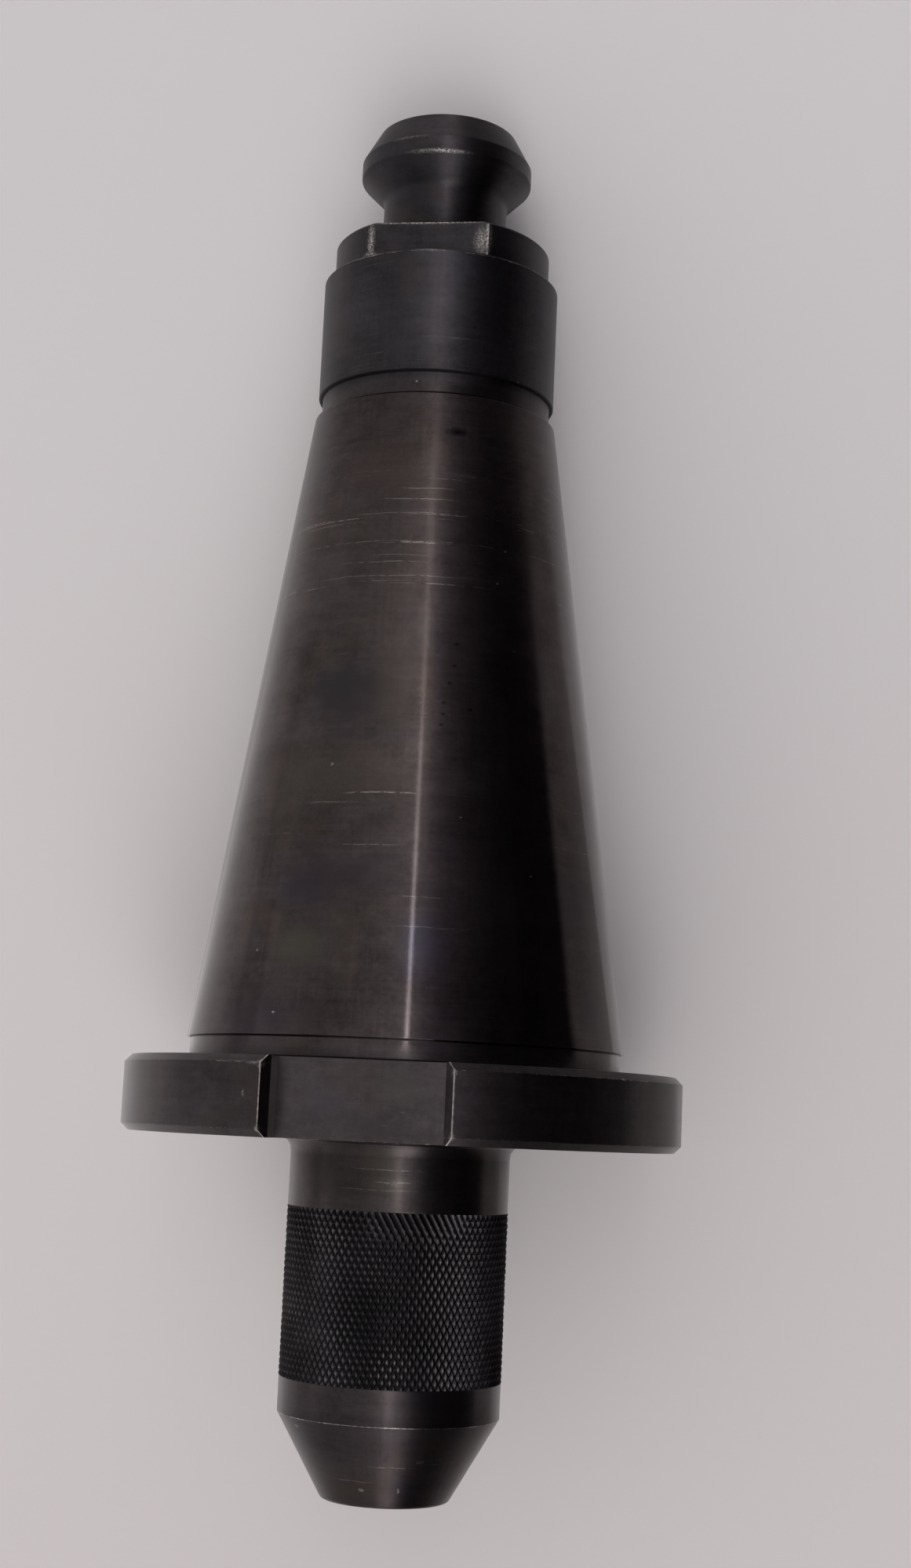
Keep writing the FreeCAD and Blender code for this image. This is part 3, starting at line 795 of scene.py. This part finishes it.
def oxide_color(nodes, surface, zones, patches):
    """The unworn oxide: its zones, shaded by lines and stains, with tinted patches, painted shade with some
    dirt in concave corners, and dust.
    """
    local = surface.local
    bands = nodes.noise(surface.lines_round(nodes, 0.5, 0.9), 1.0, 3.0, 0.6)
    drawn = nodes.minus(nodes.noise(surface.lines_along(nodes, 30.0, 0.06), 1.0, 4.0, 0.65), 0.5)
    drawn = nodes.times(drawn, nodes.between(nodes.noise(local, 0.10, 3.0), 0.42, 0.62))
    blotch = nodes.noise(local, 0.055, 4.0, 0.55)
    shade = nodes.plus(nodes.times(nodes.between(surface.stain, 0.3, 0.7), 0.26),
                       nodes.times(nodes.between(blotch, 0.3, 0.7), 0.46))
    for lines, amount in ((surface.turned, 0.30), (bands, 0.34), (surface.grit, 0.7), (drawn, 0.55)):
        shade = nodes.math("MULTIPLY_ADD", lines, amount, shade)
    tint = surface.by_place(nodes, [(where, color) for where, color, _ in zones])
    oxide = nodes.scaled(tint, nodes.plus(shade, 0.32))
    cool = nodes.between(nodes.noise(local, 0.07, 3.0), 0.55, 0.75)
    oxide = nodes.mix_color(nodes.times(cool, 0.45), oxide, (0.038, 0.038, 0.047, 1))
    warm = nodes.between(nodes.noise(nodes.stretched(local, 1.0, 0.7, 1.0), 0.13, 4.0, 0.6), 0.50, 0.72)
    oxide = nodes.mix_color(nodes.times(warm, 0.40), oxide, (0.070, 0.054, 0.044, 1))
    for centre, spread_out, tone, amount in patches:
        patch = nodes.times(nodes.spot(local, centre, spread_out, surface.stain), amount)
        oxide = nodes.mix_color(patch, oxide, (*tone, 1))
    # Painted shade with some dirt: small concave corners darken towards black
    oxide = nodes.mix_color(nodes.times(surface.grime, 0.7), oxide, SOOT_AND_SHADE_BLACK)
    dust = nodes.between(surface.speck, 0.77, 0.83)
    return nodes.mix_color(nodes.times(dust, 0.3), oxide, (0.22, 0.21, 0.20, 1))


def black_oxide(name, zones, patches, rings, lines, marks):
    """Black oxide on turned steel, handled: patches, turned lines, scratches, and bare metal on edges."""
    material, nodes, shader = new_steel(name)
    surface = TurnedSurface(nodes)
    oxide = oxide_color(nodes, surface, zones, patches)

    # Bare metal where edges are rubbed through, in scratches, and in the single marks
    rubbed = nodes.between(nodes.plus(nodes.times(surface.wear, 0.60), surface.ragged), 0.88, 1.32)
    bare = nodes.times(rubbed, nodes.between(surface.wear, 0.0, 0.25))
    scratches = ring_scratches(nodes, surface, rings)
    bare = nodes.highest(bare, nodes.times(scratches, 0.42))
    bare = nodes.highest(bare, single_scratches(nodes, surface, lines))
    scuff = nodes.between(nodes.noise(surface.local, 3.2, 3.0, 0.7), 0.36, 0.60)
    for centre, spread_out, strength in marks:
        spot = nodes.spot(surface.local, centre, spread_out, surface.ragged)
        if strength < 0:
            oxide = nodes.mix_color(nodes.times(spot, -strength), oxide, SOOT_AND_SHADE_BLACK)
        else:
            bare = nodes.highest(bare, nodes.times(nodes.times(spot, scuff), strength))

    gloss = surface.by_place(nodes, [(where, (level, level, level)) for where, _, level in zones])
    uneven = nodes.plus(nodes.times(nodes.minus(surface.turned, 0.5), 0.06),
                        nodes.times(nodes.minus(surface.stain, 0.5), 0.10))
    uneven = nodes.math("MULTIPLY_ADD", surface.grit, 0.06, uneven)
    rough = nodes.math("ADD", nodes.plus(uneven, gloss), nodes.times(surface.grime, 0.3), clamp=True)
    height = nodes.plus(nodes.times(surface.turned, 0.5), nodes.times(surface.speck, 0.06))
    height = nodes.minus(height, nodes.times(scratches, 0.5))
    nodes.links.new(nodes.mix_color(bare, oxide, BARE_STEEL), shader.inputs["Base Color"])
    nodes.links.new(nodes.mix(bare, rough, 0.36), shader.inputs["Roughness"])
    nodes.links.new(nodes.bump(0.06, height), shader.inputs["Normal"])
    nodes.links.new(nodes.round_direction(surface.local), shader.inputs["Tangent"])
    shader.inputs["Anisotropic"].default_value = TURNED_STRETCH
    shader.inputs["Anisotropic Rotation"].default_value = QUARTER_TURN
    return material


# Valley and crest colours: the valleys are painted darker as shade in the grooves
VALLEY_SHADE_BLACK, CREST_BLACK = (0.015, 0.014, 0.016, 1), (0.054, 0.049, 0.053, 1)


def knurl_finish():
    """The knurl's finish by height: valleys painted black as shade in the grooves, dark flanks, and small
    points, some of them rubbed.
    """
    material, nodes, shader = new_steel("knurl_oxide")
    local = nodes.attribute("local").outputs["Vector"]
    height = nodes.attribute("wear").outputs["Fac"]
    patch = nodes.noise(local, 0.16, 3.0, 0.6)
    uneven = nodes.between(nodes.noise(local, 0.07, 3.0), 0.35, 0.65)
    # Painted shade: darker towards the bottom of the grooves
    flank = nodes.mix_color(nodes.between(height, 0.0, POINT_FLAT), VALLEY_SHADE_BLACK, CREST_BLACK)
    flank = nodes.scaled(flank, nodes.math("MULTIPLY_ADD", uneven, 0.55, 0.62))
    rub = nodes.times(nodes.between(patch, 0.42, 0.72), 0.12)
    for centre, spread_out, strength in KNURL_RUBS:
        rub = nodes.highest(rub, nodes.times(nodes.spot(local, centre, spread_out, patch), strength))
    tip = nodes.times(nodes.between(height, 0.42, 0.70), rub)
    nodes.links.new(nodes.mix_color(tip, flank, BARE_STEEL), shader.inputs["Base Color"])
    nodes.links.new(nodes.mix(tip, 0.42, 0.33), shader.inputs["Roughness"])
    nodes.links.new(nodes.bump(0.08, nodes.noise(local, 4.0, 3.0)), shader.inputs["Normal"])
    return material


SCREW_DARK, SCREW_LIGHT = (0.03, 0.028, 0.03, 1), (0.09, 0.08, 0.075, 1)


def screw_finish():
    """Black oxide for the clamp screw, whose mesh is the CAD one."""
    material, nodes, shader = new_steel("screw_oxide")
    mottled = nodes.noise(nodes.add("ShaderNodeTexCoord").outputs["Object"], 900.0, 4.0, 0.6)
    nodes.links.new(nodes.mix_color(mottled, SCREW_DARK, SCREW_LIGHT), shader.inputs["Base Color"])
    nodes.links.new(nodes.mix(mottled, 0.28, 0.45), shader.inputs["Roughness"])
    nodes.links.new(nodes.bump(0.15, mottled), shader.inputs["Normal"])
    return material


# Dust and tiny nicks on the taper: turn and place
TAPER_SPECKS = (
    (39.6, 77.1), (35.6, 71.5), (41.5, 60.8), (22.0, 33.5), (43.7, 25.5), (-34.9, 12.7), (-26.0, 3.3),
    (-18.0, 41.3), (160.0, 50.0), (-100.0, 20.0), (110.0, 40.0), (-150.0, 80.0),
)

# Small dark pits on the taper: turn and place
TAPER_PITS = (
    (20.1, 60.8), (17.9, 54.5), (16.1, 51.3), (15.9, 49.5), (15.5, 47.8), (19.4, 57.3), (24.8, 50.5),
    (150.0, 62.0), (-95.0, 44.0),
)

# The outer corner of the drive slot's mouth
MOUTH_RIGHT = SLOT_HALF + SLOT_CHAMFER
MOUTH_UP = math.sqrt(FLANGE_RADIUS ** 2 - MOUTH_RIGHT ** 2)

# Single marks read off the photograph: (point, spread in mm each way, strength; below 0 is soot)
TAPER_NICKS = tuple((on_taper(*spot), (0.45, 0.30, 0.45), 0.8) for spot in TAPER_SPECKS)
TAPER_HOLES = tuple((on_taper(*spot), (0.62, 0.42, 0.62), -0.75) for spot in TAPER_PITS)
HOLDER_MARKS = TAPER_NICKS + TAPER_HOLES + (
    (surface_point(19.4, 96.1, 20.9), (3.0, 1.2, 2.0), -1.0),
    (surface_point(-0.7, 104.7, RELIEF_RADIUS), (0.3, 0.3, 0.3), 0.9),
    # Bright mark on the pilot's end edge where it faces up: partly rubbed steel, partly a painted highlight
    (surface_point(3.3, SHANK_END - 0.2, PILOT_RADIUS), (4.5, 0.4, 1.0), 0.5),
    (surface_point(55.9, FLANGE_REAR - 1.1, FLANGE_RADIUS), (0.8, 0.3, 0.8), 0.8),
    ((-MOUTH_RIGHT, FLANGE_REAR - 1.3, MOUTH_UP), (1.0, 1.0, 1.2), 1.0),
    ((-MOUTH_RIGHT - 1.6, FLANGE_REAR - 1.2, MOUTH_UP), (2.4, 0.45, 1.2), 0.9),
    ((-MOUTH_RIGHT - 2.6, FLANGE_FRONT + 6.2, MOUTH_UP - 0.8), (0.35, 0.8, 1.0), 0.6),
    ((-MOUTH_RIGHT, FLANGE_FRONT + 1.1, MOUTH_UP), (0.7, 0.9, 1.0), 0.9),
    ((MOUTH_RIGHT, FLANGE_REAR - 1.5, MOUTH_UP), (0.7, 0.8, 1.0), 1.0),
    ((MOUTH_RIGHT, FLANGE_FRONT + 1.2, MOUTH_UP), (0.7, 1.0, 1.0), 1.0),
    (surface_point(8.0, -21.3, NECK_RADIUS), (2.2, 0.9, 2.0), 0.12),
    (surface_point(30.2, -62.6, 14.34), (0.9, 0.35, 0.9), 0.5),
    (surface_point(-8.5, -67.3, 11.6), (0.7, 0.4, 0.7), 0.5),
    (surface_point(19.4, -67.2, 11.7), (0.25, 1.3, 0.4), 0.5),
    (surface_point(-46.8, -58.5, 16.7), (0.8, 0.4, 0.9), 0.5),
)
KNOB_MARKS = (
    ((9.7, 130.1, WRENCH_HALF), (0.95, 4.8, 1.5), 1.0),
    ((8.7, 129.6, WRENCH_HALF), (2.0, 3.8, 1.5), 0.60),
    ((-9.6, 130.0, WRENCH_HALF), (0.95, 4.8, 1.5), 0.75),
    ((-9.8, SHANK_END + 0.8, WRENCH_HALF), (2.0, 0.9, 1.5), 0.70),
    ((0.0, COLLAR_TOP, WRENCH_HALF), (14.0, 0.42, 0.8), 0.85),
    # Bright mark on the band's lower edge where it faces up: partly rubbed steel, partly a painted highlight
    (surface_point(3.0, BAND_START, HEAD_RADIUS), (8.0, 0.55, 5.0), 0.60),
    (surface_point(-16.0, BAND_END, HEAD_RADIUS), (5.0, 0.45, 5.0), 0.30),
)

# Where the knurl's points are rubbed: (point, spread in mm each way, strength)
KNURL_RUBS = (
    (surface_point(9.5, KNURL_FRONT + 3.4, KNURL_CREST), (4.5, 4.5, 3.0), 0.42),
    (surface_point(30.0, KNURL_REAR - 9.0, KNURL_CREST), (3.5, 9.0, 5.0), 0.16),
    (surface_point(-2.0, KNURL_REAR - 8.0, KNURL_CREST), (3.0, 6.0, 3.0), 0.14),
)


def make_holder():
    """The turned body and its knurled band, in place of the CAD body."""
    columns = around(quarter_columns())
    shell_mesh = ring_mesh("holder_shell", holder_rings(), columns, holder_point, slot_wear)
    shell = new_object("holder_shell", shell_mesh, "holder")
    band = new_object("knurl_band", knurl_mesh(), "holder")
    cutter = screw_hole_cutter()
    cut_screw_hole(shell, cutter)
    cut_screw_hole(band, cutter)
    bpy.data.objects.remove(cutter)
    shell.data.materials.clear()
    shell.data.materials.append(black_oxide(
        "holder_oxide", HOLDER_ZONES, HOLDER_PATCHES, SCRATCH_RINGS, HOLDER_LINES, HOLDER_MARKS))
    band.data.materials.clear()
    band.data.materials.append(knurl_finish())
    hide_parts("holder_body")


def make_knob():
    """The retention knob, in place of the CAD knob."""
    mesh = ring_mesh("knob", knob_rings(), knob_columns(), knob_point, knob_wear)
    knob = new_object("knob", mesh, "holder")
    mesh.materials.append(black_oxide("knob_oxide", KNOB_ZONES, (), (), (), KNOB_MARKS))
    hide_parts("retention_knob")


def make_screw():
    """The clamp screw keeps its CAD mesh and gets a finish."""
    screw = frame["nodes"]["set_screw"]
    screw.data.materials.clear()
    screw.data.materials.append(screw_finish())


# The table top: its tint towards the knob and towards the nose, where one fades into the other along Y,
# and its reach, in metres
TABLE_COOL = (0.728, 0.710, 0.718, 1)
TABLE_WARM = (0.728, 0.684, 0.676, 1)
TABLE_FADE = (0.20, -0.20)
TABLE_REACH = 8.0


def make_table():
    """A plain pale table top, a little warmer towards the nose."""
    mesh = bpy.data.meshes.new("table_top")
    corners = [(right * TABLE_REACH, back * TABLE_REACH, 0)
               for right, back in ((-1, -1), (1, -1), (1, 1), (-1, 1))]
    mesh.from_pydata(corners, [], [(0, 1, 2, 3)])
    mesh.materials.append(faded_matt("pale_table", "Y", TABLE_FADE, TABLE_COOL, TABLE_WARM))
    table = bpy.data.objects.new("table_top", mesh)
    bpy.context.scene.collection.objects.link(table)


# Sheets on the table that only the metal's reflections show, painting light and shade into them: name, side,
# start, reach and height behind in metres, near and far colours, and how far out one fades into the other
MIRRORED_SHEETS = (
    # A dark sheet that only reflections show: painted shade, near the holder for the dimmed table and
    # farther out for a dark room
    ("dark_cloth", 1, 0.062, 3.0, 0.75, (0.44, 0.42, 0.41, 1), (0.045, 0.037, 0.048, 1), (0.165, 0.225)),
    # A pale sheet that only reflections show: a painted brighter reflection along the left rim
    ("white_cloth", -1, 0.056, 0.60, 0.0, (0.98, 0.95, 0.94, 1), (0.85, 0.82, 0.81, 1), (0.056, 0.60)),
)
SHEET_SPREAD = 80
SHEET_STEPS = 40
SHEET_LIFT = 0.0005


def lay_mirrored_sheet(name, side, start, reach, height, near_color, far_color, fade):
    """A sheet lies on the table from its near edge outwards and hangs up behind; only mirrors show it, as a
    painted reflection that lights and shades nothing.
    """
    vertices, faces = [], []
    for step in range(SHEET_STEPS + 1):
        angle = math.radians(SHEET_SPREAD * (2 * step / SHEET_STEPS - 1))
        out, along = side * reach * math.cos(angle), reach * math.sin(angle)
        vertices.append((side * start, start * math.tan(angle), SHEET_LIFT))
        vertices.append((out, along, SHEET_LIFT))
        vertices.append((out, along, SHEET_LIFT + height))
    for step in range(SHEET_STEPS):
        near = 3 * step
        faces.append((near, near + 1, near + 4, near + 3))
        if height:
            faces.append((near + 1, near + 2, near + 5, near + 4))
    mesh = bpy.data.meshes.new(name)
    mesh.from_pydata(vertices, [], faces)
    mesh.materials.append(faded_matt(name, "X", [side * place for place in fade], near_color, far_color))
    mirrored_sheet = bpy.data.objects.new(name, mesh)
    bpy.context.scene.collection.objects.link(mirrored_sheet)
    # Only reflections see the sheet, as painted light and shade: it lights, shades and shadows nothing
    mirrored_sheet.visible_camera = False
    mirrored_sheet.visible_diffuse = False
    mirrored_sheet.visible_shadow = False


# Brightness of the room by how far a direction points to the right: (rightward share, level, tint)
PLAIN, COOL = (1.0, 0.97, 0.97), (1.0, 0.92, 1.06)
ROOM = (
    (-1.0, 0.95, PLAIN), (-0.9, 0.66, PLAIN), (-0.7, 0.58, PLAIN), (-0.4, 0.64, PLAIN),
    (-0.2, 0.78, PLAIN), (-0.05, 0.95, PLAIN), (0.06, 1.06, PLAIN), (0.14, 1.16, PLAIN),
    (0.18, 1.08, PLAIN), (0.22, 0.92, PLAIN), (0.29, 0.60, COOL), (0.36, 0.38, COOL),
    (0.45, 0.23, COOL), (0.62, 0.11, COOL), (0.80, 0.045, COOL), (1.0, 0.03, COOL),
)
ROOM_BRIGHTEST = 1.2

# A thin strip of bright light: its share to the right, half width, and level by the share towards the knob
STRIP_SHARE = 0.158
STRIP_HALF = 0.014
STRIP_BRIGHTEST = 14.0
STRIP = (
    (-0.7, 0.2), (-0.3, 0.8), (0.0, 5.0), (0.2, 10.0), (0.36, 14.0), (0.45, 12.0), (0.53, 5.5), (0.58, 2.6),
    (0.63, 0.6), (0.7, 0.0),
)

# A lamp in the ceiling towards the nose: its direction's shares to the right and towards the knob
CEILING_LAMP = (0.20, -0.46, 0.0)
CEILING_LAMP_REACH = 0.34
CEILING_LAMP_LEVEL = 3.0

# The pale wall behind the table, up to this upward share
WALL = (0.60, 0.575, 0.575, 1)
WALL_TOP = 0.20


def light_the_room():
    """Soft light from all round: even on the left, brightest right of overhead, dim on the right."""
    world = bpy.data.worlds.new("room")
    world.use_nodes = True
    nodes = Nodes(world)
    parts = nodes.parts(nodes.add("ShaderNodeTexCoord").outputs["Generated"])
    stops = [((share + 1) / 2, tuple(level * part / ROOM_BRIGHTEST for part in tint))
             for share, level, tint in ROOM]
    walls = nodes.ramp(nodes.math("MULTIPLY_ADD", parts["X"], 0.5, 0.5), stops)
    walls = nodes.scaled(walls, ROOM_BRIGHTEST)

    levels = [((share + 1) / 2, (level / STRIP_BRIGHTEST,) * 3) for share, level in STRIP]
    strip = nodes.ramp(nodes.math("MULTIPLY_ADD", parts["Y"], 0.5, 0.5), levels)
    off_strip = nodes.math("ABSOLUTE", nodes.minus(parts["X"], STRIP_SHARE))
    strip = nodes.scaled(strip, STRIP_BRIGHTEST)
    strip = nodes.scaled(strip, nodes.between(off_strip, STRIP_HALF, STRIP_HALF / 4))

    flat = nodes.combine(parts["X"], parts["Y"], 0.0)
    off_lamp = nodes.add("ShaderNodeVectorMath", {0: flat, 1: CEILING_LAMP}, operation="DISTANCE")
    near_lamp = nodes.between(off_lamp.outputs["Value"], CEILING_LAMP_REACH, CEILING_LAMP_REACH / 3)
    lamp = nodes.times(near_lamp, CEILING_LAMP_LEVEL)

    lit = nodes.vector_math("ADD", walls, strip)
    lit = nodes.vector_math("ADD", lit, nodes.combine(lamp, lamp, lamp))
    low = nodes.between(parts["Z"], WALL_TOP, WALL_TOP * 0.75)
    nodes.links.new(nodes.mix_color(low, lit, WALL), world.node_tree.nodes["Background"].inputs["Color"])
    bpy.context.scene.world = world


# Camera over the table, fitted to the photograph: millimetres, degrees and pixels of focal length
CAMERA_PLACE = (58.4, 8.2, 396.4)
CAMERA_TURN = (-0.952, 8.211, 1.188)
FOCAL_PIXELS = 2865.8
PHOTO_HEIGHT = 1999
SENSOR_HEIGHT = 36.0


def place_camera():
    """The photograph's view from above."""
    camera = bpy.data.cameras.new("camera")
    camera.sensor_fit = "VERTICAL"
    camera.sensor_height = SENSOR_HEIGHT
    camera.lens = FOCAL_PIXELS * SENSOR_HEIGHT / PHOTO_HEIGHT
    camera.clip_start = 0.01
    item = bpy.data.objects.new("camera", camera)
    bpy.context.scene.collection.objects.link(item)
    item.location = Vector(CAMERA_PLACE) * MM
    item.rotation_euler = Euler([math.radians(angle) for angle in CAMERA_TURN], "XYZ")
    bpy.context.scene.camera = item


make_holder()
make_knob()
make_screw()
make_table()
# Painted reflections: a dark sheet on the right for shade, a pale one on the left for light
for mirrored_sheet in MIRRORED_SHEETS:
    lay_mirrored_sheet(*mirrored_sheet)
light_the_room()
place_camera()
bpy.context.scene.view_settings.view_transform = "Standard"
